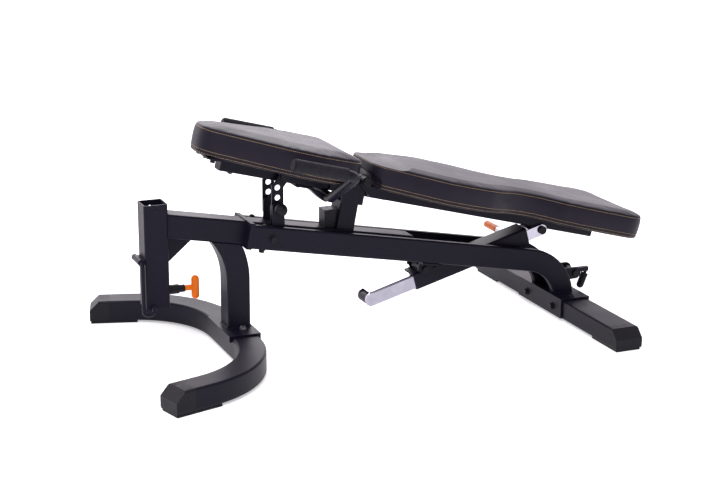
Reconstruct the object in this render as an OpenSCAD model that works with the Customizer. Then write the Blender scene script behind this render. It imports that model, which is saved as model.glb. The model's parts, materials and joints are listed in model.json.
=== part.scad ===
// Adjustable weight bench, declined position.
// Stations along X are counted from the front face of the attachment receiver;
// every sub-part is then shifted so that the origin lies under the middle of the bench on the floor.

/* [Layout] */
// Station of the middle of the overall length
x_mid = 642.9; // [600:0.1:670]
// Slope of the spine and side rails, down to the rear
rail_slope = 10.5; // [8:0.5:13]
// Slope of the seat and back frames in the stored decline position
pad_slope = 14.6; // [12:0.2:17]
// Station of the main hinge axle
hinge_x = 568; // [560:1:576]
// Height of the main hinge axle
hinge_z = 418; // [410:1:426]

/* [Frame tubes] */
// Outside size of the square receiver and spine tubes
tube = 60; // [56:1:64]
// Wall of the frame tubes
wall = 3; // [2:0.5:4]
// Top of the receiver above the floor
receiver_top = 402; // [390:1:420]
// Bottom of the receiver above the floor
receiver_bottom = 142; // [130:1:150]
// Height of the spine's top edge where it meets the receiver
spine_top = 376; // [370:1:382]
// Length of the spine along its slope
spine_len = 662; // [640:1:680]
// Width of one side rail
rail_w = 20; // [16:1:24]
// Height of one side rail
rail_h = 60; // [56:1:64]
// Outside width across both side rails
rails_span = 122; // [118:1:126]
// Outside bend radius of the rear arch
arch_r = 150; // [140:1:160]

/* [Feet] */
// Width of the front foot tube
front_foot_w = 70; // [60:1:80]
// Height of the front foot tube
front_foot_h = 55; // [50:1:60]
// Centre line radius of the front foot bends
front_foot_r = 249; // [240:1:260]
// Splay of the front foot legs
front_splay = 16; // [12:1:20]
// Width of the rear foot tube
rear_foot_w = 76; // [70:1:80]
// Height of the rear foot tube
rear_foot_h = 50; // [45:1:55]
// Half length of the rear foot with its end caps
rear_half = 388; // [380:1:400]
// Thickness of the rubber soles
sole = 6; // [4:1:8]

/* [Seat and back] */
// Width of the seat and back frame tubes
frame_w = 40; // [36:1:40]
// Height of the seat and back frame tubes
frame_h = 30; // [28:1:32]
// Height of the seat pad's rim above the hinge
seat_rim = 54; // [50:1:56]
// Height of the back pad's rim above the hinge
back_rim = 49; // [45:1:50]
// Distance from the hinge to the rear edge of the seat pad
seat_gap = 52; // [52:1:60]
// Distance from the hinge to the front tip of the seat pad
seat_front = 447; // [440:1:455]
// Half width of the seat pad at its widest
seat_half = 150; // [140:1:155]
// Distance from the hinge to the head end of the back pad
back_end = 788; // [760:1:800]
// Half width of the back pad at the shoulders
back_half = 164; // [150:1:170]
// Half spacing of the two hand grips
grip_y = 258; // [230:1:265]

/* [Strut] */
// Station of the strut's sleeve pivot
pivot_x = 746; // [740:1:752]
// Height of the strut's sleeve pivot
pivot_z = 163; // [158:1:166]
// Station of the strut's upper bolt
clevis_x = 1094; // [1088:1:1100]
// Height of the strut's upper bolt
clevis_z = 232; // [228:1:236]
// Distance of the sleeve pivot above the sleeve's centre line
pivot_lift = 26; // [24:1:30]

/* [Hidden] */
$fn = 48;
powder = "#2b2932";
plastic = "#1c1c1f";
zinc = "#b9bbc0";
chrome = "#dfe2e6";
orange = "#f08218";
leather = "#242229";
rubber = "#303036";
r_tube = 5;                 // outer corner radius of the square tubes
plate = 5;                  // thickness of the welded plates
spine_half = tube / 2;
rail_in = rails_span / 2 - rail_w;
rail_mid = rails_span / 2 - rail_w / 2;
collar_u = 203;             // station of the front end plate along the spine
rail_u = collar_u + 12;     // start of the side rails along the spine
end_plate_h = 66;           // height of the front end plate
arch_u = 1014;              // end of the straight part of the rails
foot_top = sole + front_foot_h;
rear_top = sole + rear_foot_h;
post_u = 445;               // front of the seat post along the spine
post_h = 68;
axle_r = 8;
fit = 0.05;                 // radial clearance of every running fit
hub_r = 14;                 // round ends of the hinge ears
pad_base = -10;             // underside of both pads, below the hinge axis
pad_top = pad_base - 4;     // top of the seat and back tubes
tube_low = pad_top - frame_h;
arm = [clevis_x - pivot_x, clevis_z - pivot_z];
strut_slope = atan2(arm[1], arm[0]) + asin(pivot_lift / norm(arm));
clevis_w = sqrt(arm[0] * arm[0] + arm[1] * arm[1] - pivot_lift * pivot_lift);
sleeve_w = 60;
sleeve_h = 46;
chrome_w = 53.2;
chrome_h = 39.2;
ladder_x = 339;             // station of the seat ladder
ladder_top = 418.4;         // height of its highest hole
ladder_pitch = 25.4;
ladder_pivot = [357.6, 444.8];
lug_s = 555.9;              // the strut's upper bolt, along the back frame
lug_t = -47.4;
bar_s = -81.2;              // the handle's cross tube in the seat frame
handle_r = 12.5;
bar_t = tube_low - handle_r;
handle_s = -124;            // where the grips' straight ends turn down to the cross tube
lift_x = 1203;              // axle of the lifting handle
lift_z = 100;
lift_hub = 16;              // round ends of its ears
lift_arm = 51;              // reach of its arm from the axle
lift_top = [lift_x + lift_arm, 0, lift_z];
lift_end = [1236, 0, 56];   // middle of the round end of its grip

module place() translate([-x_mid, 0, 0]) children();
module on_rail() place() translate([tube, 0, spine_top]) rotate([0, rail_slope, 0]) children();
module on_pad() place() translate([hinge_x, 0, hinge_z]) rotate([0, pad_slope, 0]) children();
module on_strut() place() translate([pivot_x, 0, pivot_z]) rotate([0, -strut_slope, 0]) children();
module both() { children(); mirror([0, 1, 0]) children(); }
// Block given by its low and high corners
module block(a, b) translate(a) cube(b - a);
// Lateral cylinder between two stations along Y
module lateral(r, y0, y1) translate([0, y1, 0]) rotate([90, 0, 0]) cylinder(r = r, h = y1 - y0);
module round_rect(w, h, r) {
    square([w - 2 * r, h], center = true);
    square([w, h - 2 * r], center = true);
    for (x = [-1, 1], y = [-1, 1]) translate([x * (w / 2 - r), y * (h / 2 - r)]) circle(r, $fn = 24);
}
module tube_profile(w, h, t, r = r_tube) difference() {
    round_rect(w, h, r);
    round_rect(w - 2 * t, h - 2 * t, max(r - t, 1));
}
// Square tube along X: w across Y, h along Z, centred on the axis
module box_tube(x0, x1, w, h, t) translate([x0, 0, 0]) rotate([90, 0, 90])
    linear_extrude(x1 - x0) tube_profile(w, h, t);
// Plate in the X-Z plane between two stations along Y
module side_plate(y0, y1) translate([0, y1, 0]) rotate([90, 0, 0]) linear_extrude(y1 - y0) children();
function unit(v) = v / norm(v);
function half_turn(a, b, c) = acos(unit(a - b) * unit(c - b)) / 2;
function trim(p, i, bend) = i == 0 || i == len(p) - 1 ? 0 : bend / tan(half_turn(p[i - 1], p[i], p[i + 1]));
module along(a, b) {
    d = b - a;
    translate(a) rotate([0, acos(d[2] / norm(d)), atan2(d[1], d[0])]) children();
}
module straight(a, b) along(a, b) linear_extrude(norm(b - a)) children();
lap = 1;                    // straight lengths run this far into a bend, a hair thinner than it
hair = 0.05;
module elbow(a, b, c, bend) {
    h = half_turn(a, b, c);
    mid = b + unit(unit(a - b) + unit(c - b)) * bend / sin(h);
    ex = unit(b + unit(a - b) * bend / tan(h) - mid);
    ez = unit(cross(b - a, c - b));
    ey = cross(ez, ex);
    multmatrix([[ex[0], ey[0], ez[0], mid[0]], [ex[1], ey[1], ez[1], mid[1]],
                [ex[2], ey[2], ez[2], mid[2]], [0, 0, 0, 1]])
        rotate_extrude(angle = 180 - 2 * h) translate([bend, 0]) children();
}
// Round bar bent through a list of corners
module run(p, bend, r) {
    for (i = [0 : len(p) - 2])
        straight(p[i] + unit(p[i + 1] - p[i]) * (trim(p, i, bend) - (i == 0 ? 0 : lap)),
                 p[i + 1] - unit(p[i + 1] - p[i]) * (trim(p, i + 1, bend) - (i == len(p) - 2 ? 0 : lap)))
            circle(r - hair, $fn = 32);
    for (i = [1 : len(p) - 2]) elbow(p[i - 1], p[i], p[i + 1], bend) circle(r, $fn = 32);
}
// Hexagon head, 'across' the corners, standing on Z = 0 with a washer under it
module hex_bolt(across, washer) {
    cylinder(d = washer, h = 2);
    cylinder(d = across, h = 8, $fn = 6);
}
module dome(r, h) rotate_extrude($fn = 32) intersection() {
    translate([0, h - (r * r + h * h) / (2 * h)]) circle((r * r + h * h) / (2 * h), $fn = 96);
    square([r, h]);
}

// ---- front foot and leg ----
splay_turn = 90 - front_splay;
foot_x = 232;               // middle of the front foot tube
foot_y = 95;                // start of its bends
foot_leg = 51;              // straight end behind each bend
cap_len = 52;
// Frame at the end of the bend, X along the leg and Y outwards across it
module at_leg_end() translate([foot_x - front_foot_r, foot_y, 0]) rotate([0, 0, splay_turn])
    translate([front_foot_r, 0, 0]) rotate([0, 0, 90]) children();
module foot_section(less = 0) tube_profile(front_foot_w - less, front_foot_h - less, wall, 6);
module front_foot() color(powder) place() difference() {
    union() {
        translate([foot_x, 0, sole + front_foot_h / 2]) rotate([90, 0, 0])
            linear_extrude(2 * (foot_y + lap), center = true) foot_section(2 * hair);
        both() {
            translate([foot_x - front_foot_r, foot_y, sole + front_foot_h / 2])
                rotate_extrude(angle = splay_turn, $fn = 96) translate([front_foot_r, 0]) foot_section();
            at_leg_end() translate([-lap, 0, sole + front_foot_h / 2]) rotate([90, 0, 90])
                linear_extrude(foot_leg + lap) foot_section(2 * hair);
        }
    }
    both() translate([foot_x + 10, 40, foot_top - 10]) cylinder(r = 4.2, h = 20);
}
module front_foot_caps() color(plastic) place() both() at_leg_end() {
    difference() {
        union() {
            translate([foot_leg, 0, sole + front_foot_h / 2]) rotate([90, 0, 90])
                linear_extrude(cap_len) round_rect(front_foot_w, front_foot_h, 6);
            block([foot_leg - 20, -31, sole + 4], [foot_leg, 31, foot_top - 4]);
        }
        translate([foot_leg + cap_len, 0, foot_top - 25]) rotate([0, -45, 0])
            block([0, -50, 0], [40, 50, 60]);
    }
    block([-22, -32, 0], [foot_leg + cap_len - 3, 32, sole]);
}
module front_saddle() color(powder) place() difference() {
    union() {
        block([191, -87, foot_top], [273, 87, foot_top + plate]);
        for (x = [191, foot_x + front_foot_w / 2]) block([x, -87, foot_top - 10], [x + 6, 87, foot_top]);
    }
    both() translate([foot_x + 10, 40, foot_top - 1]) cylinder(r = 4.2, h = plate + 2);
}
module front_saddle_bolts() color(zinc) place() both() translate([foot_x + 10, 40, 0]) {
    translate([0, 0, foot_top + plate]) hex_bolt(15, 19);
    translate([0, 0, foot_top - 6]) cylinder(r = 4, h = plate + 7);
}
leg_x = 237;                // middle of the front leg
leg_bend = 190;             // centre line radius of its upper bend
module front_leg() color(powder) place() difference() {
    union() {
        translate([leg_x, 0, foot_top + plate]) linear_extrude(leg_bend - foot_top - plate + lap)
            tube_profile(tube - 2 * hair, tube - 2 * hair, wall);
        translate([leg_x - leg_bend, 0, leg_bend]) rotate([90, 0, 0])
            rotate_extrude(angle = 50, $fn = 96) translate([leg_bend, 0]) tube_profile(tube, tube, wall);
    }
    translate([tube, 0, spine_top]) rotate([0, rail_slope, 0]) {
        block([-50, -60, -tube], [400, 60, 200]);
        block([collar_u, -60, -end_plate_h - 1], [rail_u, 60, -tube + 1]);
    }
}

// ---- receiver, its pull pin and the hook ----
pin_z = 177;
module receiver() color(powder) place() difference() {
    translate([tube / 2, 0, receiver_bottom]) linear_extrude(receiver_top - receiver_bottom)
        tube_profile(tube, tube, wall);
    translate([31, 0, receiver_top - 15]) lateral(2.5, -40, 40);
    translate([tube - 10, 0, pin_z]) rotate([0, 90, 0]) cylinder(r = 5 + fit, h = 20);
}
module receiver_gusset() color(powder) place() side_plate(-4, 4)
    polygon([[60, 245], [60, 376 - tube / cos(rail_slope)],
             [128, 376 - tube / cos(rail_slope) - 68 * tan(rail_slope)]]);
module receiver_pin_barrel() color(plastic) place() translate([tube, 0, pin_z]) rotate([0, 90, 0])
    difference() {
        union() {
            cylinder(r = 12, h = 30);
            translate([0, 0, 30]) cylinder(r = 9.5, h = 15);
        }
        translate([0, 0, -1]) cylinder(r = 5 + fit, h = 60);
    }
module receiver_pin_plunger() color(zinc) place() translate([0, 0, pin_z]) rotate([0, 90, 0]) {
    translate([0, 0, 44]) cylinder(r = 5, h = 82);
}
module receiver_pin_handle() color(orange) place() translate([0, 0, pin_z]) difference() {
    union() {
        translate([105.5, 0, 0]) rotate([0, 90, 0]) cylinder(r = 7.5, h = 20);
        translate([133, 0, 0]) rotate_extrude() intersection() {
            union() {
                square([20, 41], center = true);
                for (s = [-1, 1]) translate([0, s * 20.5]) circle(10);
            }
            translate([0, -31]) square([11, 62]);
        }
    }
    translate([100, 0, 0]) rotate([0, 90, 0]) cylinder(r = 5, h = 26);
}
hook_x = -9;
hook_z = 260;
module hook_sleeve() color(powder) place() difference() {
    union() {
        translate([hook_x, 0, hook_z]) lateral(8, -25, 30);
        block([hook_x, -25, hook_z - 6], [0, 30, hook_z + 6]);
    }
    translate([hook_x, 0, hook_z]) lateral(5 + fit, -40, 40);
}
module hook_rod() color(powder) place() {
    run([[hook_x, 33, hook_z], [hook_x, -37, hook_z], [hook_x, -37, 130], [hook_x + 26, -37, 130],
         [hook_x + 26, -37, 148]], 11, 5);
    translate([hook_x, 0, hook_z]) lateral(8, 30.6, 35);
    translate([hook_x + 26, -37, 148]) sphere(r = 5, $fn = 32);
}

// ---- spine and side rails ----
module spine() color(powder) place() difference() {
    translate([tube, 0, spine_top]) rotate([0, rail_slope, 0]) difference() {
        translate([0, 0, -spine_half]) box_tube(-30, spine_len, tube, tube, wall);
        translate([rail_bolt_u, 0, -32]) lateral(5, -spine_half - 1, spine_half + 1);
    }
    block([-60, -60, 200], [tube, 60, 500]);
}
module spine_plug() color(plastic) on_rail() translate([0, 0, -spine_half]) {
    translate([spine_len, 0, 0]) rotate([90, 0, 90]) linear_extrude(3) round_rect(tube, tube, r_tube);
    block([spine_len - 15, -26, -26], [spine_len, 26, 26]);
}
module front_end_plate() color(powder) on_rail() difference() {
    translate([0, 0, 2 - end_plate_h / 2]) rotate([90, 0, 90]) translate([0, 0, collar_u])
        linear_extrude(rail_u - collar_u) round_rect(rails_span + 2, end_plate_h, 3);
    translate([0, 0, -spine_half]) rotate([90, 0, 90]) translate([0, 0, collar_u - 1])
        linear_extrude(rail_u - collar_u + 2) round_rect(tube, tube, r_tube);
}
rail_bolt_u = 268;
rail_post_u = 246;
// One rail with its arch, drawn on the +Y side
module rail() place() difference() {
    translate([tube, 0, spine_top]) rotate([0, rail_slope, 0]) difference() {
        union() {
            translate([0, rail_mid, -2 - rail_h / 2]) box_tube(rail_u, arch_u, rail_w, rail_h, 2);
            translate([arch_u, rail_mid, -2 - arch_r]) rotate([90, 0, 0]) rotate([0, 0, 5])
                rotate_extrude(angle = 85, $fn = 96) translate([arch_r - rail_h / 2, 0])
                    tube_profile(rail_h, rail_w, 2);
        }
        translate([rail_bolt_u, 0, -32]) lateral(5, rail_in - 1, rails_span);
        translate([rail_post_u, rail_mid, -80]) cylinder(r = 4, h = 100);
    }
    block([900, -100, -100], [1300, 100, rear_top + plate]);
}
module rail_left() color(powder) mirror([0, 1, 0]) rail();
module rail_right() color(powder) rail();
module rail_bolts() color(plastic) on_rail() both() {
    translate([rail_bolt_u, 0, -32]) {
        lateral(5, spine_half - wall, rails_span / 2 + 1);
        translate([0, rails_span / 2, 0]) rotate([-90, 0, 0]) hex_bolt(17, 23);
    }
    translate([rail_post_u, rail_mid, 0]) {
        translate([0, 0, -63]) cylinder(r = 4, h = 62);
        translate([0, 0, -2]) dome(8, 5);
        translate([0, 0, -2 - rail_h]) mirror([0, 0, 1]) hex_bolt(15, 17);
    }
}

// ---- rear foot ----
saddle_x = 1109;
rear_x = saddle_x + plate + rear_foot_w / 2;
rear_seam = 340;            // half length of the rear foot tube
module rear_saddle() color(powder) place() {
    block([saddle_x, -117, rear_top], [saddle_x + rear_foot_w + 2 * plate, 117, rear_top + plate]);
    block([saddle_x, -117, sole + 2], [saddle_x + plate, 117, rear_top]);
    block([saddle_x + plate + rear_foot_w, -117, rear_top - 20],
          [saddle_x + rear_foot_w + 2 * plate, 117, rear_top]);
}
module rear_saddle_bolts() color(plastic) place() both() {
    translate([saddle_x, 70, 30]) rotate([0, -90, 0]) hex_bolt(17, 21);
    translate([rear_x, 95, rear_top + plate]) dome(9, 6);
}
module rear_foot() color(powder) place() translate([rear_x, 0, sole + rear_foot_h / 2]) rotate([90, 0, 0])
    linear_extrude(2 * rear_seam, center = true) tube_profile(rear_foot_w, rear_foot_h, wall);
module rear_foot_caps() color(plastic) place() both() {
    difference() {
        union() {
            translate([rear_x, rear_half, sole + rear_foot_h / 2]) rotate([90, 0, 0])
                linear_extrude(rear_half - rear_seam) round_rect(rear_foot_w, rear_foot_h, r_tube);
            block([rear_x - 33, rear_seam - 20, sole + 5], [rear_x + 33, rear_seam, rear_top - 5]);
        }
        translate([rear_x, rear_half, rear_top - 24]) rotate([45, 0, 0]) block([-50, 0, 0], [50, 40, 60]);
    }
    block([rear_x - 34, 265, 0], [rear_x + 34, rear_half - 3, sole]);
}

// ---- lifting handle at the rear ----
module lift_bracket() color(powder) place() {
    block([1140, -rail_in, rear_top + plate + 2], [1146, rail_in, 128]);
    both() side_plate(23, 28) difference() {
        union() {
            translate([1146, lift_z - lift_hub]) square([lift_x - 1146, 2 * lift_hub]);
            translate([lift_x, lift_z]) circle(lift_hub);
        }
        translate([lift_x, lift_z]) circle(5);
    }
}
module lift_pin() color(plastic) place() translate([lift_x, 0, lift_z]) {
    lateral(5, -28, 28);
    both() lateral(9, 28, 33);
}
module lift_handle() color(powder) place() {
    difference() {
        union() {
            translate([lift_x, 0, lift_z]) lateral(10, -22.5, 22.5);
            block([lift_x, -6, lift_z - 6], [lift_x + lift_arm + 3, 6, lift_z + 6]);
        }
        translate([lift_x, 0, lift_z]) lateral(5 + fit, -30, 30);
    }
    straight(lift_top, lift_end) circle(4.5, $fn = 32);
}
module lift_grip() color(rubber) place() difference() {
    along(lift_end, lift_top) rotate_extrude() intersection() {
        union() {
            translate([-10, 0]) square([20, 34]);
            circle(10);
        }
        translate([0, -20]) square([12, 80]);
    }
    straight(lift_top, lift_end) circle(4.5, $fn = 32);
}

// ---- seat post, pivot bracket and stop ----
hinge_u = (hinge_x - tube) * cos(rail_slope) - (hinge_z - spine_top) * sin(rail_slope);
hinge_n = (hinge_x - tube) * sin(rail_slope) + (hinge_z - spine_top) * cos(rail_slope);
module seat_post() color(powder) on_rail() translate([post_u + 25, 0, 0]) linear_extrude(post_h)
    tube_profile(50, tube, wall);
module pivot_bracket() color(powder) on_rail() {
    block([post_u, -30.6, post_h], [post_u + 60, 30.6, post_h + plate]);
    both() side_plate(25.6, 30.6) difference() {
        union() {
            polygon([[post_u, post_h], [post_u + 60, post_h], [hinge_u + hub_r, hinge_n],
                     [hinge_u - hub_r, hinge_n], [post_u, post_h + 30]]);
            translate([hinge_u, hinge_n]) circle(hub_r);
        }
        translate([hinge_u, hinge_n]) circle(axle_r);
    }
}
module seat_stop() color(plastic) place() difference() {
    block([470, -20, 285], [520, 20, 344.8]);
    translate([tube, 0, spine_top]) rotate([0, rail_slope, 0]) {
        block([300, -40, -100], [600, 40, 0]);
        block([post_u, -40, -10], [600, 40, 100]);
    }
}
module hinge_axle() color(zinc) place() translate([hinge_x, 0, hinge_z]) lateral(axle_r, -60, 60);
module hinge_spacers() color(plastic) place() translate([hinge_x, 0, hinge_z]) both() difference() {
    lateral(13, 36.8, 60);
    lateral(axle_r, 30, 70);
}
module hinge_bolts() color(plastic) place() translate([hinge_x, 0, hinge_z]) both()
    translate([0, 60, 0]) rotate([-90, 0, 0]) hex_bolt(24, 27);

// ---- seat ladder bracket and its pull pin ----
outer_y = 36.2;
seat_pin_z = ladder_top - 2 * ladder_pitch;
module ladder_bracket() color(powder) place() {
    difference() {
        both() side_plate(24.5, 29.8) {
            translate([ladder_x - 16, 300]) square([32, seat_pin_z - 300]);
            translate([ladder_x, seat_pin_z]) circle(16);
        }
        translate([ladder_x, 0, seat_pin_z]) lateral(5.3, -40, 0);
        translate([tube, 0, spine_top]) rotate([0, rail_slope, 0]) block([200, -60, -100], [400, 60, 0]);
    }
    side_plate(-rail_in, -outer_y) difference() {
        union() {
            translate([ladder_x - 16, 272]) square([32, seat_pin_z - 272]);
            translate([ladder_x, seat_pin_z]) circle(16);
        }
        translate([ladder_x, seat_pin_z]) circle(5 + fit);
    }
}
module seat_pin_barrel() color(zinc) place() translate([ladder_x, 0, seat_pin_z]) difference() {
    lateral(9.5, -46, -rail_in);
    lateral(5 + fit, -60, -30);
}
module seat_pin_plunger() color(zinc) place() translate([ladder_x, 0, seat_pin_z]) lateral(5, -54, -35.8);
module seat_pin_knob() color(plastic) place() translate([ladder_x, -60, seat_pin_z]) rotate([90, 0, 0])
    rotate_extrude() difference() {
        intersection() {
            circle(16);
            translate([0, -13.5]) square([16, 29.5]);
        }
        translate([0, -20]) square([5, 14]);
    }

// ---- seat ----
module seat_tube() color(powder) on_pad() translate([0, 0, pad_top - frame_h / 2])
    box_tube(-372, -12, frame_w, frame_h, 2.5);
module seat_tube_cap() color(plastic) on_pad() translate([0, 0, pad_top - frame_h / 2]) {
    translate([-375, 0, 0]) rotate([90, 0, 90]) linear_extrude(3) round_rect(frame_w, frame_h, r_tube);
    block([-372, -16, -11], [-358, 16, 11]);
}
module seat_hinge_ears() color(powder) on_pad() both() side_plate(frame_w / 2, frame_w / 2 + 5) difference() {
    union() {
        polygon([[-2, 13.8], [-34, -4], [-48, -15], [-80, -15], [-80, -40], [-40, -40], [5, -13]]);
        circle(hub_r);
    }
    circle(axle_r + fit);
}
module seat_pad_plates() color(powder) on_pad() {
    block([-428, -64, pad_top], [-345, 64, pad_base]);
    block([-130, -80, pad_top], [-80, 80, pad_base]);
}
module seat_pad_bolts() color(plastic) on_pad() {
    for (y = [-54, 0, 54]) translate([-410, y, pad_top]) mirror([0, 0, 1]) hex_bolt(13, 17);
    translate([-340, 0, tube_low]) mirror([0, 0, 1]) dome(9, 6);
}
handle_path = [[-287, grip_y, 37.2], [handle_s, grip_y, 37.2], [bar_s, 50, bar_t],
               [bar_s, -50, bar_t], [handle_s, -grip_y, 37.2], [-287, -grip_y, 37.2]];
module handle_tube() color(powder) on_pad() difference() {
    run(handle_path, 32, handle_r);
    run(handle_path, 32, handle_r - 2);
}
module handle_grips() color(rubber) on_pad() both() difference() {
    union() {
        straight([-288, grip_y, 37.2], [-151, grip_y, 37.2]) circle(16, $fn = 40);
        straight([-292, grip_y, 37.2], [-288, grip_y, 37.2]) circle(13, $fn = 40);
    }
    straight([-287, grip_y, 37.2], [-140, grip_y, 37.2]) circle(12.5, $fn = 32);
}
module handle_strap() color(powder) on_pad() difference() {
    union() {
        block([-170, -20, tube_low - plate], [-124, 20, tube_low]);
        side_plate(-20, 20) {
            polygon([[-130, tube_low], [-130, tube_low - plate], [bar_s - 9, bar_t - 15],
                     [bar_s, bar_t - 17.5], [bar_s, bar_t], [-124, tube_low]]);
            translate([bar_s, bar_t]) intersection() {
                circle(17.5);
                translate([-1, -20]) square([20, 18]);
            }
        }
        translate([-155, 0, tube_low - plate]) mirror([0, 0, 1]) cylinder(r = 5, h = 4, $fn = 6);
    }
    translate([bar_s, 0, bar_t]) lateral(12.5, -30, 30);
}
// Bolts that carry the ladder on the seat tube; the ladder turns on them
ladder_s = (ladder_pivot[0] - hinge_x) * cos(pad_slope) - (ladder_pivot[1] - hinge_z) * sin(pad_slope);
ladder_t = (ladder_pivot[0] - hinge_x) * sin(pad_slope) + (ladder_pivot[1] - hinge_z) * cos(pad_slope);
module ladder_bolt() color(plastic) on_pad() translate([ladder_s, 0, ladder_t]) both() {
    lateral(8, frame_w / 2, 36);
    lateral(11, frame_w / 2, 30.2);
    lateral(11, 36, 40);
}
module ladder_plates() color(powder) place() both() side_plate(30.6, 35.4) difference() {
    union() {
        translate([ladder_x - 15.5, seat_pin_z - 24]) square([31, ladder_top - seat_pin_z + 33]);
        polygon([[ladder_x - 15.5, ladder_top], [ladder_x + 15.5, ladder_top],
                 [ladder_pivot[0] + 14.5, ladder_pivot[1] - 4], [ladder_pivot[0] - 15, ladder_pivot[1] + 4]]);
        translate(ladder_pivot) circle(15.5);
    }
    for (i = [0 : 2]) translate([ladder_x, ladder_top - i * ladder_pitch]) circle(7.5);
    translate(ladder_pivot) circle(8 + fit);
}
// Pad slab with a lower, smaller crown on top of it
module pad_body(rim, rise, crown) {
    translate([0, 0, pad_base]) linear_extrude(rim - pad_base) children();
    translate([0, 0, rim]) linear_extrude(rise) intersection() {
        children();
        crown_box(crown);
    }
}
module crown_box(c) translate([c[0], -c[2]]) square([c[1] - c[0], 2 * c[2]]);
module seat_outline() hull() both() {
    translate([60 - seat_front, 12]) circle(60, $fn = 64);
    translate([-229, seat_half - 83]) circle(70, $fn = 64);
    translate([-165, seat_half - 70]) circle(70, $fn = 64);
    translate([-seat_gap - 38, seat_half - 46]) circle(38, $fn = 64);
}
module back_outline() {
    hull() both() {
        translate([53, 55]) circle(50, $fn = 64);
        translate([200, back_half - 90]) circle(90, $fn = 64);
        translate([240, back_half - 90]) circle(90, $fn = 64);
        translate([298, back_half - 67]) circle(60, $fn = 64);
    }
    hull() both() {
        translate([590, 80]) circle(70, $fn = 64);
        translate([back_end - 55, back_half - 59]) circle(55, $fn = 64);
    }
    difference() {
        translate([250, -144]) square([350, 288]);
        both() translate([440, 260]) circle(150, $fn = 128);
    }
}
// Grooves under the seat pad clear the legs of the handle tube
module seat_pad() color(leather) on_pad() difference() {
    pad_body(seat_rim, 10, [-seat_front + 30, -seat_gap - 25, seat_half - 25]) seat_outline();
    for (i = [1, 3]) straight(handle_path[i], handle_path[i + 1]) circle(handle_r + 1, $fn = 32);
}
module back_pad() color(leather) on_pad() difference() {
    pad_body(back_rim, 7, [63, back_end - 30, back_half - 25]) back_outline();
    lateral(24, -100, 100);
}

// ---- back frame ----
module back_tube() color(powder) on_pad() translate([0, 0, pad_top - frame_h / 2])
    box_tube(12, 713, frame_w, frame_h, 2.5);
module back_tube_cap() color(plastic) on_pad() translate([0, 0, pad_top - frame_h / 2]) {
    translate([713, 0, 0]) rotate([90, 0, 90]) linear_extrude(3) round_rect(frame_w, frame_h, r_tube);
    block([698, -16, -11], [713, 16, 11]);
}
module back_hinge_bracket() color(powder) on_pad() both() {
    block([36, frame_w / 2, -38], [76, 31.2, -12]);
    side_plate(31.2, outer_y) difference() {
        union() {
            polygon([[5, 13], [20, -12], [78, -13], [78, -41], [30, -41], [-6, -12.6]]);
            circle(hub_r);
        }
        circle(axle_r + fit);
    }
}
module back_pad_plates() color(powder) on_pad() for (s = [110, 330, 610])
    block([s, -80, pad_top], [s + 50, 80, pad_base]);
module strut_lug() color(powder) on_pad() side_plate(-frame_w / 2, frame_w / 2) {
    translate([lug_s - 15, tube_low - 6]) square([30, 6]);
    translate([lug_s, lug_t]) intersection() {
        circle(15);
        translate([-15, -15]) square([30, 15]);
    }
}

// ---- strut: outer sleeve, its pull pin and the chrome inner tube ----
strut_pin_w = 266;           // station of the strut's pull pin along the sleeve
strut_pin_n = -14;
module strut_ears() color(powder) place() difference() {
    translate([tube, 0, spine_top]) rotate([0, rail_slope, 0]) both() {
        block([690, 31.2, -2 - rail_h - plate], [738, rails_span / 2, -2 - rail_h]);
        side_plate(31.2, outer_y) {
            translate([693, -90]) square([41, 90 - 2 - rail_h]);
            translate([713.3, -84.4]) circle(16);
        }
    }
    translate([pivot_x, 0, pivot_z]) lateral(5, -60, 60);
}
module strut_pivot_bolt() color(plastic) place() translate([pivot_x, 0, pivot_z]) {
    lateral(5, -outer_y, outer_y);
    both() translate([0, outer_y, 0]) rotate([-90, 0, 0]) cylinder(r = 9, h = 5);
}
module strut_sleeve() color(powder) on_strut() difference() {
    union() {
        translate([0, 0, -pivot_lift]) box_tube(-33, 308, sleeve_w, sleeve_h, wall);
        difference() {
            lateral(12, -30, 30);
            block([-40, -40, -40], [40, 40, -pivot_lift + sleeve_h / 2 - wall]);
        }
    }
    lateral(5 + fit, -40, 40);
    translate([strut_pin_w, 0, strut_pin_n]) lateral(5 + fit, 20, 40);
}
module strut_pin_barrel() color(zinc) on_strut() translate([strut_pin_w, 0, strut_pin_n]) difference() {
    lateral(9, sleeve_w / 2, 58);
    lateral(5 + fit, 20, 70);
}
module strut_pin_knob() color(orange) on_strut() translate([strut_pin_w, 0, strut_pin_n]) {
    lateral(5, 27.1, 62);
    lateral(10, 58.5, 122);
}
module strut_tube() color(chrome) on_strut() translate([0, 0, -pivot_lift]) difference() {
    union() {
        difference() {
            box_tube(-160, clevis_w, chrome_w, chrome_h, 4);
            block([290, -60, -30], [500, 60, 30]);
        }
        both() side_plate(chrome_w / 2 - 4, chrome_w / 2) {
            translate([290, -15]) square([clevis_w - 290, 30]);
            translate([clevis_w, 0]) circle(15);
            translate([-160, 0]) circle(chrome_h / 2 - 2);
        }
    }
    for (i = [0 : 5]) translate([strut_pin_w - i * 80, 0, strut_pin_n + pivot_lift]) lateral(5.6, 10, 40);
    translate([clevis_w, 0, 0]) lateral(5, -40, 40);
}
module strut_bolt_heads() color(plastic) on_strut() translate([0, 0, -pivot_lift]) {
    translate([clevis_w, 0, 0]) both() {
        lateral(5, 20.4, chrome_w / 2);
        lateral(11, chrome_w / 2, 33);
    }
    // plug in the lower end
    block([-165, -22.5, -13], [-140, 22.5, 13]);
    translate([-165, 0, 0]) lateral(13, -22.5, 22.5);
}

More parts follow.
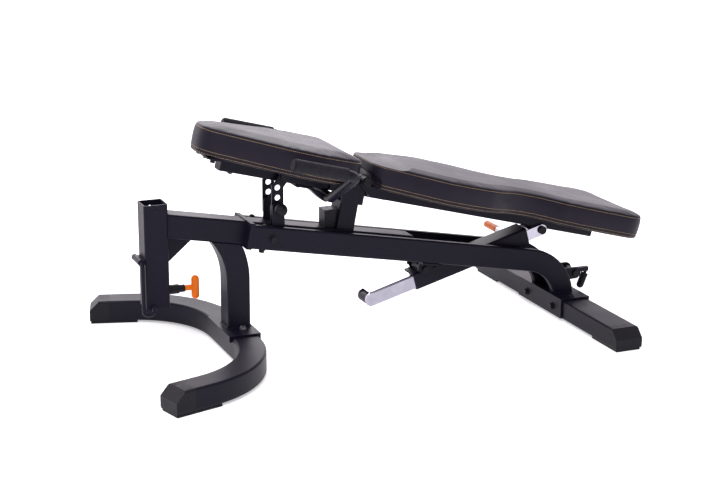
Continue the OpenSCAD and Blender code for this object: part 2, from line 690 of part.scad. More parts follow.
front_foot();
front_foot_caps();
front_saddle();
front_saddle_bolts();
front_leg();
receiver();
receiver_gusset();
receiver_pin_barrel();
receiver_pin_handle();
receiver_pin_plunger();
hook_sleeve();
hook_rod();
spine();
spine_plug();
front_end_plate();
rail_left();
rail_right();
rail_bolts();
rear_saddle();
rear_saddle_bolts();
rear_foot();
rear_foot_caps();
lift_bracket();
lift_pin();
lift_handle();
lift_grip();
seat_post();
pivot_bracket();
seat_stop();
ladder_bracket();
seat_pin_barrel();
seat_pin_plunger();
seat_pin_knob();
strut_ears();
strut_pivot_bolt();
hinge_axle();
hinge_spacers();
hinge_bolts();
seat_tube();
seat_tube_cap();
seat_hinge_ears();
seat_pad_plates();
seat_pad_bolts();
handle_tube();
handle_grips();
handle_strap();
ladder_bolt();
seat_pad();
ladder_plates();
back_tube();
back_tube_cap();
back_hinge_bracket();
back_pad_plates();
back_pad();
strut_lug();
strut_sleeve();
strut_pin_barrel();
strut_pin_knob();
strut_tube();
strut_bolt_heads();
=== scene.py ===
import json
import math

import bmesh
import bpy
from mathutils import Matrix, Vector
from mathutils.bvhtree import BVHTree


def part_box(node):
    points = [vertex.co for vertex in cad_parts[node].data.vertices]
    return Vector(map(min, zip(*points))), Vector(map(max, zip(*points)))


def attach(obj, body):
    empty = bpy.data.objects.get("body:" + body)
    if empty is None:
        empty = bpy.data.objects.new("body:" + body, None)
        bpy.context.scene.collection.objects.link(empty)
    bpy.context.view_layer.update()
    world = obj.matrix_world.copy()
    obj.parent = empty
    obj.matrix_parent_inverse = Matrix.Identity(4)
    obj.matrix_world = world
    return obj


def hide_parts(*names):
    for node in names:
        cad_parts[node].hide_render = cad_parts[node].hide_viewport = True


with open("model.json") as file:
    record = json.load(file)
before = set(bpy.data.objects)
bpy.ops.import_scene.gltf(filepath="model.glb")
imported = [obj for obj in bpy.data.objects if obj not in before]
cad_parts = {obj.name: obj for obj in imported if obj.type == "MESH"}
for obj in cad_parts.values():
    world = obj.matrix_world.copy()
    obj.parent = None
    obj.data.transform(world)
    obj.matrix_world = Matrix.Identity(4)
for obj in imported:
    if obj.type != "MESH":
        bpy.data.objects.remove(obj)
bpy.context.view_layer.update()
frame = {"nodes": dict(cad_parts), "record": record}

# ------------------------------------------------------------------ frames of reference

# Lengths are in mm and angles in degrees, unless a comment says otherwise.
# Stations run to the rear from the receiver's front face, and heights up from the floor.
MM = 0.001
TUBE = 60  # side of the square tubes
SPINE_TOP = 376  # top of the spine where it leaves the receiver
RAIL_SLOPE = 10.5
HINGE_X = 568
HINGE_Z = 418
PAD_SLOPE = 14.6

NODES = frame["nodes"]
MIDDLE = -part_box("receiver")[0].x  # from the receiver's front face to the row frame's origin, in metres


def station(x, y, z):
    """A place in the row frame, in metres."""
    return Vector((x * MM - MIDDLE, y * MM, z * MM))


def slope_frame(origin, degrees):
    """Frame that slopes down to the rear: X along it, Z out of its upper face."""
    a = math.radians(degrees)
    along = (math.cos(a), 0, math.sin(a))
    upward = (-math.sin(a), 0, math.cos(a))
    frame_matrix = Matrix((along, (0, 1, 0), upward)).to_4x4()
    frame_matrix.translation = origin
    return frame_matrix


PAD = slope_frame(station(HINGE_X, 0, HINGE_Z), PAD_SLOPE)
RAIL = slope_frame(station(TUBE, 0, SPINE_TOP), RAIL_SLOPE)


def on_rail(x, y, z):
    """The same, for a place along, across and above the spine's upper face."""
    return RAIL @ (Vector((x, y, z)) * MM)


# ------------------------------------------------------------------ materials


class Graph:
    """A procedural material on one Principled shader."""

    def __init__(self, name, colour, rough, metal=0.0, **sockets):
        self.mat = bpy.data.materials.new(name)
        self.mat.use_nodes = True
        self.mat.diffuse_color = (*colour, 1)
        self.tree = self.mat.node_tree
        self.shader = self.tree.nodes["Principled BSDF"]
        self.set("Base Color", (*colour, 1))
        self.set("Roughness", rough)
        self.set("Metallic", metal)
        for key, value in sockets.items():
            self.set(key.replace("_", " "), value)
        self.coords = self.new("ShaderNodeTexCoord").outputs["Object"]
        self.bumps = []

    def set(self, socket, value):
        self.shader.inputs[socket].default_value = value

    def new(self, kind, **props):
        node = self.tree.nodes.new(kind)
        for key, value in props.items():
            setattr(node, key, value)
        return node

    def link(self, output, socket):
        self.tree.links.new(output, socket)

    def feed(self, socket, x):
        """x is a number or another node's output."""
        if isinstance(x, (int, float)):
            socket.default_value = x
        else:
            self.link(x, socket)

    def math(self, operation, a, b=0.0, c=0.0):
        node = self.new("ShaderNodeMath", operation=operation)
        for socket, x in zip(node.inputs, (a, b, c)):
            self.feed(socket, x)
        return node.outputs[0]

    def noise(self, scale, detail=3.0, rough=0.5, stretch=None):
        node = self.new("ShaderNodeTexNoise")
        node.inputs["Scale"].default_value = scale
        node.inputs["Detail"].default_value = detail
        node.inputs["Roughness"].default_value = rough
        source = self.coords
        if stretch:
            mapping = self.new("ShaderNodeMapping")
            mapping.inputs["Scale"].default_value = stretch
            self.link(source, mapping.inputs["Vector"])
            source = mapping.outputs[0]
        self.link(source, node.inputs["Vector"])
        return node.outputs["Fac"]

    def cells(self, scale, warp=0.0):
        """Distance to the nearest of scattered points. warp, in cells, bends their edges."""
        node = self.new("ShaderNodeTexVoronoi")
        node.inputs["Scale"].default_value = scale
        source = self.coords
        if warp:
            bend = self.new("ShaderNodeTexNoise")
            bend.inputs["Scale"].default_value = scale * 0.6
            self.link(source, bend.inputs["Vector"])
            add = self.new("ShaderNodeVectorMath", operation="MULTIPLY_ADD")
            add.inputs[1].default_value = (warp / scale,) * 3
            self.link(bend.outputs["Color"], add.inputs[0])
            self.link(source, add.inputs[2])
            source = add.outputs[0]
        self.link(source, node.inputs["Vector"])
        return node.outputs["Distance"]

    def span(self, x, source, target):
        """x carried from the range source to the range target."""
        node = self.new("ShaderNodeMapRange")
        self.link(x, node.inputs["Value"])
        for key, value in zip(("From Min", "From Max", "To Min", "To Max"), (*source, *target)):
            node.inputs[key].default_value = value
        return node.outputs[0]

    def tint(self, x, dark, light):
        """A colour that goes from dark to light as x rises."""
        node = self.new("ShaderNodeValToRGB")
        ends = node.color_ramp.elements
        for end, position, colour in zip(ends, (0.3, 0.7), (dark, light)):
            end.position = position
            end.color = (*colour, 1)
        self.link(x, node.inputs[0])
        return node.outputs[0]

    def mix(self, factor, output, colour):
        """The colour that output gives, with another laid over it by factor."""
        node = self.new("ShaderNodeMix", data_type="RGBA")
        self.feed(node.inputs[0], factor)
        self.link(output, node.inputs[6])
        node.inputs[7].default_value = (*colour, 1)
        return node.outputs[2]

    def colour(self, x):
        self.link(x, self.shader.inputs["Base Color"])

    def rough(self, x):
        self.link(x, self.shader.inputs["Roughness"])

    def bump(self, height, depth, strength):
        """Adds relief. done() joins it to the shader."""
        self.bumps.append((height, depth, strength))

    def done(self, edge=0.0):
        """Joins up the bumps, on edges that look rounded to the radius edge."""
        normal = None
        if edge:
            bevel = self.new("ShaderNodeBevel", samples=4)
            bevel.inputs["Radius"].default_value = edge * MM
            normal = bevel.outputs[0]
        for height, depth, strength in self.bumps:
            node = self.new("ShaderNodeBump")
            node.inputs["Distance"].default_value = depth * MM
            node.inputs["Strength"].default_value = strength
            self.link(height, node.inputs["Height"])
            if normal:
                self.link(normal, node.inputs["Normal"])
            normal = node.outputs[0]
        if normal:
            self.link(normal, self.shader.inputs["Normal"])
        return self.mat


def powder_coat():
    """Black powder coat: slightly uneven, with fine specks and a trace of dust."""
    g = Graph("powder_coat", (0.005, 0.0043, 0.0105), rough=0.42, Specular_IOR_Level=0.13)
    cloud = g.noise(scale=9, detail=4)
    speck = g.noise(scale=700, detail=2)
    coat = g.tint(cloud, dark=(0.0040, 0.0033, 0.0092), light=(0.0062, 0.0052, 0.0125))
    dust = g.span(g.noise(scale=60, detail=6, rough=0.7), (0.62, 0.82), (0, 0.35))
    g.colour(g.mix(dust, coat, (0.022, 0.020, 0.025)))
    uneven = g.math("ADD", cloud, g.math("MULTIPLY", speck, 0.5))
    g.rough(g.span(uneven, (0.5, 1.1), (0.38, 0.50)))
    g.bump(speck, depth=0.10, strength=0.35)
    g.bump(g.noise(scale=220, detail=2), depth=0.12, strength=0.3)
    return g.done(edge=1.0)


def moulded_plastic():
    g = Graph("moulded_plastic", (0.007, 0.0068, 0.0095), rough=0.48, Specular_IOR_Level=0.15)
    cloud = g.noise(scale=14, detail=4)
    g.colour(g.tint(cloud, dark=(0.00574, 0.005576, 0.00779), light=(0.00875, 0.0085, 0.011875)))
    g.rough(g.span(g.noise(scale=90, detail=5, rough=0.6), (0.3, 0.7), (0.41, 0.56)))
    g.bump(g.cells(scale=1500), depth=0.06, strength=0.4)
    return g.done(edge=0.8)


def plated_steel():
    g = Graph("plated_steel", (0.38, 0.38, 0.40), rough=0.3, metal=1.0)
    patch = g.noise(scale=120, detail=5, rough=0.65)
    g.colour(g.tint(patch, dark=(0.31, 0.31, 0.33), light=(0.45, 0.45, 0.48)))
    g.rough(g.span(g.noise(scale=300), (0.3, 0.7), (0.22, 0.42)))
    g.bump(g.noise(scale=500), depth=0.03, strength=0.5)
    return g.done(edge=0.5)


def chrome():
    """Bright plating with smudges, and faint scratches along the tube."""
    g = Graph("chrome", (0.37, 0.36, 0.42), rough=0.11, metal=1.0)
    smudge = g.noise(scale=24, detail=6, rough=0.7)
    scratch = g.noise(scale=60, detail=2, stretch=(1, 40, 40))
    g.colour(g.tint(smudge, dark=(0.32, 0.31, 0.37), light=(0.42, 0.41, 0.47)))
    dull = g.span(smudge, (0.45, 0.8), (0.08, 0.2))
    g.rough(g.math("ADD", dull, g.span(scratch, (0.4, 0.7), (0, 0.04))))
    g.bump(g.noise(scale=8, detail=2), depth=0.25, strength=0.25)
    return g.done(edge=0.8)


def orange_plastic():
    g = Graph("orange_plastic", (0.66, 0.14, 0.004), rough=0.38, Specular_IOR_Level=0.14)
    cloud = g.noise(scale=30, detail=4)
    g.colour(g.tint(cloud, dark=(0.56, 0.105, 0.004), light=(0.68, 0.15, 0.006)))
    g.rough(g.span(g.noise(scale=140, detail=4), (0.3, 0.7), (0.28, 0.42)))
    g.bump(g.noise(scale=900, detail=2), depth=0.05, strength=0.4)
    return g.done(edge=0.6)


def foam_grip():
    g = Graph("foam_grip", (0.009, 0.0085, 0.0125), rough=0.66, Specular_IOR_Level=0.18)
    wear = g.noise(scale=40, detail=6, rough=0.7)
    g.colour(g.tint(wear, dark=(0.0070, 0.0066, 0.0100), light=(0.0125, 0.0120, 0.0160)))
    g.rough(g.span(g.noise(scale=200, detail=4), (0.3, 0.7), (0.62, 0.82)))
    g.bump(g.cells(scale=1100, warp=0.5), depth=0.18, strength=0.6)
    return g.done(edge=1.2)


def leather(seams):
    """Grained leatherette, grooved and puckered at its seams, whose heights are in the pad's own frame.
    The grooves carry painted shade: the colour darkens in them.
    """
    g = Graph("leatherette", (0.009, 0.0075, 0.0125), rough=0.42,
              Specular_IOR_Level=0.19, Specular_Tint=(1.0, 0.92, 1.0, 1))
    axes = g.new("ShaderNodeSeparateXYZ")
    g.link(g.coords, axes.inputs[0])
    height = axes.outputs[2]
    groove_and_shade, pucker = 0.0, 0.0
    for seam in seams:
        away = g.math("ABSOLUTE", g.math("SUBTRACT", height, seam * MM))
        # This mask shapes both the seams' relief and the painted shade in their grooves.
        groove_and_shade = g.math("MAXIMUM", groove_and_shade, g.span(away, (0, 1.2 * MM), (1, 0)))
        pucker = g.math("MAXIMUM", pucker, g.span(away, (0, 9 * MM), (1, 0)))
    grain = g.cells(scale=420, warp=0.9)
    wear = g.noise(scale=7, detail=5, rough=0.6)
    hide = g.tint(wear, dark=(0.0058, 0.0048, 0.0105), light=(0.0082, 0.0068, 0.0135))
    # Painted shade: the base colour darkens to near black along the seam grooves.
    g.colour(g.mix(g.math("MULTIPLY", groove_and_shade, 0.75), hide, (0.004, 0.004, 0.005)))
    uneven = g.math("ADD", g.math("MULTIPLY", grain, 0.6), wear)
    g.rough(g.span(uneven, (0.4, 0.95), (0.33, 0.50)))
    gathers = g.noise(scale=95, detail=2, stretch=(1, 1, 0.25))
    g.bump(g.math("MULTIPLY", gathers, pucker), depth=0.9, strength=0.4)
    g.bump(g.noise(scale=16), depth=0.5, strength=0.15)
    g.bump(g.math("SMOOTH_MIN", grain, 0.5, 0.15), depth=0.28, strength=0.45)
    g.bump(g.cells(scale=1100, warp=0.6), depth=0.10, strength=0.3)
    g.bump(g.math("SUBTRACT", 1.0, groove_and_shade), depth=0.9, strength=0.9)
    return g.done()


def thread():
    g = Graph("thread", (0.42, 0.29, 0.12), rough=0.6, Sheen_Weight=0.3)
    g.colour(g.tint(g.noise(scale=400), dark=(0.34, 0.22, 0.08), light=(0.50, 0.36, 0.16)))
    g.bump(g.noise(scale=1800, detail=2, stretch=(1, 1, 3)), depth=0.15, strength=0.6)
    return g.done()


def studio_paper():
    g = Graph("studio_paper", (0.93, 0.93, 0.94), rough=0.85)
    g.colour(g.tint(g.noise(scale=1.5), dark=(0.92, 0.92, 0.93), light=(0.95, 0.95, 0.955)))
    g.set("Emission Color", (1, 1, 1, 1))
    g.set("Emission Strength", 0.45)
    return g.done()


# Heights on the back pad, above the hinge axis and square to the pad.
PAD_BASE = -10.0
BACK_SIDE = 60  # height of the back pad's side, from its base to the upper seam
SEAM_TOP = 50.5
SEAM_LOW = 4.0
SEAM_BASE = -4.0
SEAT_EXTRA = 5.0  # the seat pad's side is this much taller
THREAD_DROP = 3.0  # the upper stitches run this far below the upper seam


def raised(t, extra):
    """Where the back pad's height t comes on a pad whose side is taller by extra."""
    return PAD_BASE + (t - PAD_BASE) * (BACK_SIDE + extra) / BACK_SIDE


POWDER = powder_coat()
THREAD = thread()
BACK_LEATHER = leather([SEAM_TOP, SEAM_LOW, SEAM_BASE])
SEAT_LEATHER = leather([raised(SEAM_TOP, SEAT_EXTRA), SEAM_LOW, SEAM_BASE])
FINISH = {
    "powder": POWDER,
    "plastic": moulded_plastic(),
    "zinc": plated_steel(),
    "chrome": chrome(),
    "orange": orange_plastic(),
    "leather": BACK_LEATHER,
    "rubber": foam_grip(),
}


def paint(obj, material):
    obj.data.materials.clear()
    obj.data.materials.append(material)


for part in frame["record"]["subparts"]:
    paint(NODES[part["node"]], FINISH[part["material_slot"]])

# ------------------------------------------------------------------ meshes


def mesh_object(name, verts, faces, material, matrix=None):
    """A smooth mesh, in metres, in the frame that matrix gives or else in the row frame."""
    data = bpy.data.meshes.new(name)
    data.from_pydata([tuple(v) for v in verts], [], faces)
    data.update()
    obj = bpy.data.objects.new(name, data)
    bpy.context.collection.objects.link(obj)
    shade_smooth(obj)
    if matrix is not None:
        obj.matrix_world = matrix
    paint(obj, material)
    return obj


def shade_smooth(obj):
    for polygon in obj.data.polygons:
        polygon.use_smooth = True


def select_only(obj):
    bpy.ops.object.select_all(action="DESELECT")
    obj.select_set(True)
    bpy.context.view_layer.objects.active = obj


def tube_faces(rings, sides, first=0):
    """Faces between neighbouring rings of vertices, each ring with the same number of sides."""
    faces = []
    for r in range(rings - 1):
        ring = first + r * sides
        for i in range(sides):
            j = (i + 1) % sides
            faces.append((ring + i, ring + j, ring + sides + j, ring + sides + i))
    return faces


# ------------------------------------------------------------------ pads

OUTLINE_HEIGHT = 30  # the CAD pad is cut at this height to find its outline
OUTLINE_POINTS = 320
OUTLINE_ROUNDS = 6
VOXEL = 5.5  # mesh size of the cover before it is smoothed
MERGE = 0.005  # vertices of the CAD pad closer than this are one

# Inset and height of the rings round the foam, from its base to the crown.
PROFILE = [(14, -9.4), (4, -9.2), (1.0, -7), (0.2, -3), (-0.6, 4), (-1.6, 16), (-1.8, 30), (-1.0, 42),
           (0.2, 48.5), (1.4, 51.4), (3.6, 54.0), (7.5, 56.2), (14, 57.6), (26, 58.5), (46, 59.1)]

# The ends that meet at the hinge are held back, to leave room for the back's full travel.
SEAT_END = -52.5  # the seat cushion ends here
BACK_CEILING = 50.3  # top of the back cushion at the hinge
BACK_RISE = 10  # its top is free to rise this much more,
BACK_RISE_FROM = 62  # from here
BACK_RISE_LENGTH = 36  # and over this length

# Round channels through the foam, as (start, end, radius): legs of the handle tube, main hinge.
HANDLE_CHANNELS = [((-124, side * 258, 37.2), (-81.2, side * 50, -56.5), 13.2) for side in (-1, 1)]
HINGE_CHANNEL = ((0, -100, 0), (0, 100, 0), 25.5)


def outline(node):
    """Edge of the CAD pad as points (along, across) in the hinge's frame, anticlockwise."""
    bm = bmesh.new()
    bm.from_mesh(NODES[node].data)
    bm.transform(Matrix.Scale(1 / MM, 4) @ PAD.inverted())
    bmesh.ops.remove_doubles(bm, verts=bm.verts, dist=MERGE)
    everything = bm.verts[:] + bm.edges[:] + bm.faces[:]
    cut = bmesh.ops.bisect_plane(bm, geom=everything, dist=1e-5,
                                 plane_co=(0, 0, OUTLINE_HEIGHT), plane_no=(0, 0, 1))
    neighbours = {}
    for edge in cut["geom_cut"]:
        if isinstance(edge, bmesh.types.BMEdge):
            a, b = edge.verts
            neighbours.setdefault(a, []).append(b)
            neighbours.setdefault(b, []).append(a)
    here = next(iter(neighbours))
    loop = [here.co.xy.copy()]
    seen = {here}
    while ahead := [v for v in neighbours[here] if v not in seen]:
        here = ahead[0]
        seen.add(here)
        loop.append(here.co.xy.copy())
    bm.free()
    twice_area = sum(a[0] * b[1] - b[0] * a[1] for a, b in zip(loop, loop[1:] + loop[:1]))
    return loop if twice_area > 0 else loop[::-1]


def even(loop, count):
    """The closed loop resampled at equal steps."""
    lengths = [(b - a).length for a, b in zip(loop, loop[1:] + loop[:1])]
    total = sum(lengths)
    points = []
    i = 0
    walked = 0.0
    for k in range(count):
        want = total * k / count
        while walked + lengths[i] < want:
            walked += lengths[i]
            i += 1
        ahead = loop[(i + 1) % len(loop)]
        points.append(loop[i].lerp(ahead, (want - walked) / lengths[i]))
    return points


def relax(loop, rounds):
    """The closed loop with each point drawn towards its neighbours, so many times."""
    for _ in range(rounds):
        loop = [(loop[i - 1] + p * 2 + loop[(i + 1) % len(loop)]) / 4 for i, p in enumerate(loop)]
    return loop


def outward(loop):
    """Unit vectors out of an anticlockwise loop, one at each point."""
    normals = []
    for i in range(len(loop)):
        run = loop[(i + 1) % len(loop)] - loop[i - 1]
        normals.append(Vector((run.y, -run.x)).normalized())
    return normals


def foam_block(name, edge, extra, material):
    """The bare foam: rings that follow the profile from the base to the crown."""
    normals = outward(edge)
    verts = []
    for inset, t in PROFILE:
        ring = [p - n * inset for p, n in zip(edge, normals)]
        ring = relax(ring, max(0, int(inset / 3)))
        verts += [Vector((p.x, p.y, raised(t, extra))) * MM for p in ring]
    sides = len(edge)
    faces = tube_faces(len(PROFILE), sides)
    faces.append(tuple(range(sides))[::-1])
    faces.append(tuple(range(len(verts) - sides, len(verts))))
    return mesh_object(name, verts, faces, material)


def cut_channel(obj, start, end, radius):
    """Cuts a round channel through the foam."""
    a = Vector(start) * MM
    b = Vector(end) * MM
    bpy.ops.mesh.primitive_cylinder_add(radius=radius * MM, depth=(b - a).length, location=(a + b) / 2,
                                        rotation=(b - a).to_track_quat("Z", "Y").to_euler(), vertices=48)
    cutter = bpy.context.object
    select_only(obj)
    cut = obj.modifiers.new("channel", "BOOLEAN")
    cut.object = cutter
    cut.operation = "DIFFERENCE"
    cut.solver = "EXACT"
    bpy.ops.object.modifier_apply(modifier=cut.name)
    bpy.data.objects.remove(cutter)


def hold_back(co, node):
    """Keeps one vertex of a cushion out of the other's way at the hinge."""
    if node == "seat_pad":
        co.x = min(co.x, SEAT_END * MM)
    else:
        share = max(0.0, min(1.0, (co.x / MM - BACK_RISE_FROM) / BACK_RISE_LENGTH))
        co.z = min(co.z, (BACK_CEILING + BACK_RISE * share) * MM)


def pad(name, node, body, extra, material, channels):
    """Foam from the CAD outline, wrapped in a cover. Returns the cushion and its outline."""
    edge = relax(even(outline(node), OUTLINE_POINTS), OUTLINE_ROUNDS)
    obj = foam_block(name, edge, extra, material)
    for channel in channels:
        cut_channel(obj, *channel)
    select_only(obj)
    obj.data.remesh_voxel_size = VOXEL * MM
    obj.data.use_remesh_preserve_volume = True
    bpy.ops.object.voxel_remesh()
    wrap(obj, raised(SEAM_TOP, extra), channels)
    smooth = obj.modifiers.new("smooth", "SUBSURF")
    smooth.levels = 1
    smooth.render_levels = 1
    select_only(obj)
    bpy.ops.object.modifier_apply(modifier=smooth.name)
    for v in obj.data.vertices:
        hold_back(v.co, node)
    shade_smooth(obj)
    obj.matrix_world = PAD
    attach(obj, body)
    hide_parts(node)
    return obj, edge


# ------------------------------------------------------------------ covers

COVER_FRAMES = 20
COVER_LIMIT = 3.5  # the cover moves no further than this
SEAM_BAND = 3.0  # half width of the strip that the upper seam holds
SEAM_HOLD = 0.75
CHANNEL_MARGIN = 6  # the cover stays put this far round a channel


def how_held(co, seam, channels):
    """Share, from 0 to 1, by which the cover is held at a point in the pad's frame."""
    if co.z < 0:
        return 1.0
    for start, end, radius in channels:
        axis = Vector(end) - Vector(start)
        from_start = co - Vector(start)
        across = from_start - axis * (from_start.dot(axis) / axis.length_squared)
        if across.length < radius + CHANNEL_MARGIN:
            return 1.0
    return SEAM_HOLD if abs(co.z - seam) < SEAM_BAND else 0.0


def wrap(obj, seam, channels):
    """A short cloth simulation: pressure fills the cover between its seams, which stay put."""
    rest = [v.co.copy() for v in obj.data.vertices]
    group = obj.vertex_groups.new(name="held")
    for v in obj.data.vertices:
        held = how_held(v.co / MM, seam, channels)
        if held:
            group.add([v.index], held, "REPLACE")
    cloth = obj.modifiers.new("cover", "CLOTH")
    settings = cloth.settings
    settings.quality = 5
    settings.mass = 0.25
    settings.tension_stiffness = 18
    settings.compression_stiffness = 18
    settings.shear_stiffness = 8
    settings.bending_stiffness = 3
    settings.use_pressure = True
    settings.uniform_pressure_force = 4.0
    settings.vertex_group_mass = group.name
    settings.pin_stiffness = 1.0
    settings.effector_weights.gravity = 0
    cloth.collision_settings.use_collision = False
    cloth.point_cache.frame_start = 1
    cloth.point_cache.frame_end = COVER_FRAMES
    scene = bpy.context.scene
    for f in range(1, COVER_FRAMES + 1):
        scene.frame_set(f)
    moved = obj.evaluated_get(bpy.context.evaluated_depsgraph_get()).data
    filled = [v.co.copy() for v in moved.vertices]
    obj.modifiers.remove(cloth)
    limit = COVER_LIMIT * MM
    for v, a, b in zip(obj.data.vertices, rest, filled):
        move = b - a
        v.co = a + (move if move.length < limit else move.normalized() * limit)
    scene.frame_set(1)


# ------------------------------------------------------------------ stitches

STITCH_STEP = 4.8
STITCH_LENGTH = 3.5
STITCH_RADIUS = 0.42
STITCH_SIDES = 6
SEARCH_START = 25  # the cover is looked for from this far outside the outline,
SEARCH_LENGTH = 32  # and over this length

# Rings of one stitch: place along its half length, lift off the cover, share of the radius.
STITCH_RINGS = [(-1, -0.35, 0.25), (-0.72, 0.15, 0.9), (0, 0.42, 1), (0.72, 0.15, 0.9), (1, -0.35, 0.25)]


def stitch(a, b, normal, first):
    """Vertices and faces of one stitch between the points a and b."""
    along = (b - a).normalized()
    side = along.cross(normal).normalized()
    verts = []
    for place, lift, share in STITCH_RINGS:
        middle = (a + b) / 2 + along * (STITCH_LENGTH * MM / 2) * place + normal * lift * MM
        for q in range(STITCH_SIDES):
            w = 2 * math.pi / STITCH_SIDES * q
            verts.append(middle + (side * math.cos(w) + normal * math.sin(w)) * STITCH_RADIUS * share * MM)
    faces = tube_faces(len(STITCH_RINGS), STITCH_SIDES, first)
    last = first + len(verts) - STITCH_SIDES
    faces.append(tuple(range(first, first + STITCH_SIDES))[::-1])
    faces.append(tuple(range(last, last + STITCH_SIDES)))
    return verts, faces


def stitches(name, cushion, body, edge, height):
    """A row of thread stitches round the cushion at one height."""
    tree = BVHTree.FromObject(cushion, bpy.context.evaluated_depsgraph_get())
    count = int(sum((b - a).length for a, b in zip(edge, edge[1:] + edge[:1])) / STITCH_STEP)
    points = even(edge, count * 4)
    normals = outward(points)

    def touch(k):
        """Where the cover is at one point of the outline, with its normal."""
        p, n = points[k], normals[k]
        start = Vector((p.x + n.x * SEARCH_START, p.y + n.y * SEARCH_START, height)) * MM
        hit, normal, _, _ = tree.ray_cast(start, Vector((-n.x, -n.y, 0)), SEARCH_LENGTH * MM)
        return (hit, normal) if hit else None

    verts, faces = [], []
    for k in range(count):
        ends = [touch(4 * k), touch(4 * k + 2)]
        if None in ends:
            continue
        (a, a_normal), (b, b_normal) = ends
        more_verts, more_faces = stitch(a, b, (a_normal + b_normal).normalized(), len(verts))
        verts += more_verts
        faces += more_faces
    obj = mesh_object(name, verts, faces, THREAD, PAD)
    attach(obj, body)


for label, extra, material, channels in (("seat", SEAT_EXTRA, SEAT_LEATHER, HANDLE_CHANNELS),
                                         ("back", 0, BACK_LEATHER, [HINGE_CHANNEL])):
    cushion, edge = pad(label + "_cushion", label + "_pad", label, extra, material, channels)
    stitches(label + "_stitches_top", cushion, label, edge, raised(SEAM_TOP, extra) - THREAD_DROP)
    stitches(label + "_stitches_low", cushion, label, edge, SEAM_LOW)
    stitches(label + "_stitches_base", cushion, label, edge, SEAM_BASE)

# ------------------------------------------------------------------ welds

BEAD_RADIUS = 2.2
BEAD_STEP = 2.2  # from one ripple to the next
BEAD_SIDES = 8
BEAD_TAPER = 0.35  # share of the radius at an open end
PROUD = 0.5  # the beads' middles stand this far off the face that they lie on
HALF = TUBE / 2
CORNER = 4  # the beads cut the tubes' corners by this much
SIDE_RUN = 28  # half length of the beads along a tube's side
CROSS_RUN = 27  # half length of the beads across a tube
SPINE_BOTTOM = SPINE_TOP - TUBE / math.cos(math.radians(RAIL_SLOPE))
GUSSET_X = 61
GUSSET_RUN = 65
GUSSET_LOW = 248
GUSSET_TOP = SPINE_BOTTOM - 1
GUSSET_REAR = GUSSET_TOP - GUSSET_RUN * math.tan(math.radians(RAIL_SLOPE))
LEG_X = 237
FRONT_SADDLE_TOP = 66
ARCH_X = 1148
REAR_SADDLE_TOP = 61
RAILS_HALF = 61
COLLAR_X = 203
POST_X = 445


def bead(name, points, radius=BEAD_RADIUS, closed=False):
    """A rippled weld bead along a path of points in metres."""
    path = points + points[:1] if closed else points
    spots = []
    for a, b in zip(path, path[1:]):
        n = max(1, int((b - a).length / (BEAD_STEP * MM)))
        spots += [(a.lerp(b, i / n), (b - a).normalized()) for i in range(n)]
    spots.append((path[-1], (path[-1] - path[-2]).normalized()))
    verts = []
    for k, (p, d) in enumerate(spots):
        up = Vector((0, 0, 1)) if abs(d.z) < 0.9 else Vector((1, 0, 0))
        x = d.cross(up).normalized()
        y = d.cross(x).normalized()
        ripple = 0.14 * (1 if k % 2 else -1) + 0.06 * math.sin(k * 1.7)
        r = radius * MM * (1.0 + ripple)
        if k in (0, len(spots) - 1) and not closed:
            r *= BEAD_TAPER
        for q in range(BEAD_SIDES):
            w = 2 * math.pi * q / BEAD_SIDES
            verts.append(p + (x * math.cos(w) + y * math.sin(w)) * r)
    obj = mesh_object(name, verts, tube_faces(len(spots), BEAD_SIDES), POWDER)
    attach(obj, "frame")


inner = HALF - CORNER
corners = [(-HALF, SPINE_TOP - CORNER), (-HALF, SPINE_BOTTOM + CORNER), (-inner, SPINE_BOTTOM),
           (inner, SPINE_BOTTOM), (HALF, SPINE_BOTTOM + CORNER), (HALF, SPINE_TOP - CORNER),
           (inner, SPINE_TOP), (-inner, SPINE_TOP)]
bead("weld_receiver_spine", [station(TUBE, y, z) for y, z in corners], closed=True)

# Beads on both sides: name, kind of place, distance from the middle, radius, ends as (along, height).
SIDE_BEADS = [
    ("gusset", station, 4, 1.8,
     [(GUSSET_X, GUSSET_LOW), (GUSSET_X, GUSSET_TOP), (GUSSET_X + GUSSET_RUN, GUSSET_REAR)]),
    ("leg", station, HALF, BEAD_RADIUS,
     [(LEG_X + run, FRONT_SADDLE_TOP + PROUD) for run in (-SIDE_RUN, SIDE_RUN)]),
    ("arch", station, RAILS_HALF, BEAD_RADIUS,
     [(ARCH_X + run, REAR_SADDLE_TOP + PROUD) for run in (-SIDE_RUN, SIDE_RUN)]),
    ("post", on_rail, HALF, BEAD_RADIUS, [(POST_X + 2, PROUD), (POST_X + 48, PROUD)]),
]
for side, side_name in ((-1, "near"), (1, "far")):
    for name, place, away, radius, ends in SIDE_BEADS:
        bead(f"weld_{name}_{side_name}", [place(x, side * away, z) for x, z in ends], radius)

# Beads across: name, kind of place, where along, height.
CROSS_BEADS = [
    ("post_front", on_rail, POST_X, PROUD),
    ("collar", on_rail, COLLAR_X, 0.4),
    ("leg_rear", station, LEG_X + HALF + PROUD, FRONT_SADDLE_TOP + PROUD),
    ("leg_front", station, LEG_X - HALF - PROUD, FRONT_SADDLE_TOP + PROUD),
]
for name, place, x, z in CROSS_BEADS:
    bead(f"weld_{name}", [place(x, -CROSS_RUN, z), place(x, CROSS_RUN, z)])

# ------------------------------------------------------------------ stage and light

FLOOR_SIZE = 30  # metres
FLOOR_DROP = 0.2  # it lies this far below the soles
LAMP_AIM = Vector((0, 0, 0.3))  # metres

bpy.ops.mesh.primitive_plane_add(size=FLOOR_SIZE, location=(0, 0, -FLOOR_DROP * MM))
floor = bpy.context.object
floor.name = "studio_floor"
paint(floor, studio_paper())

world = bpy.data.worlds.new("studio")
bpy.context.scene.world = world
world.use_nodes = True
sky = world.node_tree


def sky_node(kind, *inputs):
    node = sky.nodes.new(kind)
    for socket, x in zip(node.inputs, inputs):
        if isinstance(x, (int, float)):
            socket.default_value = x
        else:
            sky.links.new(x, socket)
    return node


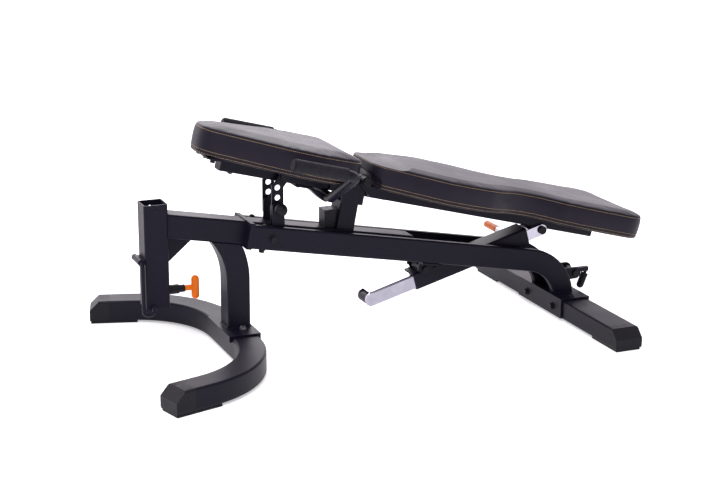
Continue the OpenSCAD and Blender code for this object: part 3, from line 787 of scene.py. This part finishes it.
# A white tent, much brighter behind the bench than in front of it.
direction = sky.nodes.new("ShaderNodeTexCoord").outputs["Generated"]
axes = sky_node("ShaderNodeSeparateXYZ", direction)
overhead = sky_node("ShaderNodeMapRange", axes.outputs[2], 0.0, 1.0, 0.14, 1.0)
behind = sky_node("ShaderNodeMapRange", axes.outputs[1], 0.1, 0.8, 0.0, 2.0)
low_down = sky_node("ShaderNodeMapRange", axes.outputs[2], 0.45, 0.9, 1.0, 0.0)
glow = sky_node("ShaderNodeMath", behind.outputs[0], low_down.outputs[0], overhead.outputs[0])
glow.operation = "MULTIPLY_ADD"
sky.links.new(glow.outputs[0], sky.nodes["Background"].inputs["Strength"])
sky.nodes["Background"].inputs["Color"].default_value = (1.0, 0.93, 1.02, 1)


def lamp(name, place, size, watts):
    """A square lamp aimed at the middle of the bench. Places and sizes are in metres."""
    data = bpy.data.lights.new(name, "AREA")
    data.shape = "SQUARE"
    data.size = size
    data.energy = watts
    obj = bpy.data.objects.new(name, data)
    bpy.context.collection.objects.link(obj)
    obj.location = place
    obj.rotation_mode = "QUATERNION"
    obj.rotation_quaternion = (LAMP_AIM - Vector(place)).to_track_quat("-Z", "Y")


lamp("key", (-1.6, -1.8, 2.9), size=2.0, watts=70)
lamp("fill", (2.6, -2.2, 1.6), size=1.8, watts=8)
lamp("back", (0.4, 2.6, 2.4), size=2.4, watts=60)

# ------------------------------------------------------------------ camera

TURN = math.radians(-23.2005)
RISE = math.radians(16.0616)
ROLL = math.radians(0.4022)
DISTANCE = 4.14746  # metres
AIM = station(576.07, 0, 225.61)

# The camera's axes. back points to it from AIM.
back = Vector((math.sin(TURN) * math.cos(RISE), -math.cos(TURN) * math.cos(RISE), math.sin(RISE)))
level = Vector((math.cos(TURN), math.sin(TURN), 0))
square = back.cross(level)
right = level * math.cos(ROLL) + square * math.sin(ROLL)
up = square * math.cos(ROLL) - level * math.sin(ROLL)
camera = bpy.data.objects.new("camera", bpy.data.cameras.new("camera"))
bpy.context.collection.objects.link(camera)
camera.data.sensor_width = 36
camera.data.lens = 80.67
camera.data.clip_start = 0.1
camera.data.clip_end = 60
camera.rotation_mode = "QUATERNION"
camera.rotation_quaternion = Matrix((right, up, back)).transposed().to_quaternion()
camera.location = AIM + back * DISTANCE
bpy.context.scene.camera = camera
bpy.context.scene.view_settings.view_transform = "Standard"
